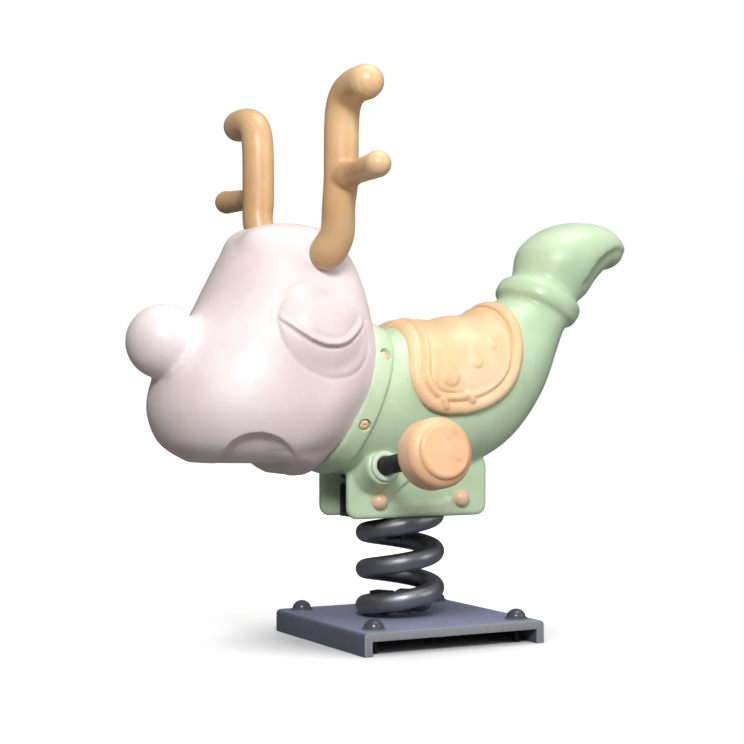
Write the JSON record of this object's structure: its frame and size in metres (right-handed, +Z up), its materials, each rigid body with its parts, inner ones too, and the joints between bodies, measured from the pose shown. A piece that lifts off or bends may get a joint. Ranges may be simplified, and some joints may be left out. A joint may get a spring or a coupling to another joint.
{
  "type": "playground spring rider",
  "caption": "Playground spring rider shaped as a sleepy deer: moulded head, antler grips, saddle and foot pegs on a coil spring with a channel base.",
  "frame": {"origin": "centre of the pattern of anchor studs, on the ground under the base", "axes": "+X forward towards the nose, +Y to the rider's left, +Z up"},
  "size_m": [0.8336, 0.5584, 0.8198],
  "materials": {
    "dark_paint": "satin",
    "charcoal_paint": "semi-gloss",
    "zinc_steel": "satin",
    "dark_cap": "gloss",
    "orange_cap": "gloss",
    "green_plastic": "satin",
    "peach_plastic": "satin",
    "pink_white_plastic": "satin",
    "tan_plastic": "satin",
    "black_rubber": "textured matte"
  },
  "bodies": {
    "base": {"base_plate": "dark_paint", "anchor_bolts": "zinc_steel", "anchor_washers": "charcoal_paint", "anchor_caps": "dark_cap", "lower_clamps": "charcoal_paint", "lower_clamp_bolts": "zinc_steel", "lower_clamp_nuts": "zinc_steel"},
    "spring": {"spring": "charcoal_paint"},
    "rider": {"top_bracket": "dark_paint", "upper_clamps": "charcoal_paint", "upper_clamp_bolts": "zinc_steel", "upper_clamp_nuts": "zinc_steel", "mount_bolts": "zinc_steel", "mount_nuts": "zinc_steel", "bolt_caps": "orange_cap", "body_shell": "green_plastic", "saddle": "peach_plastic", "head_shell": "pink_white_plastic", "collar_screws": "orange_cap", "antler_left": "tan_plastic", "antler_right": "tan_plastic", "antler_studs": "zinc_steel", "antler_nuts": "zinc_steel", "foot_peg_left": "zinc_steel", "foot_peg_right": "zinc_steel", "foot_sleeve_left": "black_rubber", "foot_sleeve_right": "black_rubber", "foot_knob_left": "peach_plastic", "foot_knob_right": "peach_plastic", "peg_nuts": "zinc_steel"}
  },
  "joints": [
    {"name": "rock", "type": "hinge", "parent": "base", "child": "spring", "pos_m": [0.012, 0, 0.08], "axis": [0, 1, 0], "range_deg": [-20, 20], "stiffness_Nm_per_rad": 900, "springref_deg": -0.73, "deforming": ["spring"]},
    {"name": "sway", "type": "hinge", "parent": "spring", "child": "rider", "pos_m": [0.012, 0, 0.142], "axis": [1, 0, 0], "range_deg": [-15, 15], "stiffness_Nm_per_rad": 900, "deforming": ["spring"]}
  ]
}
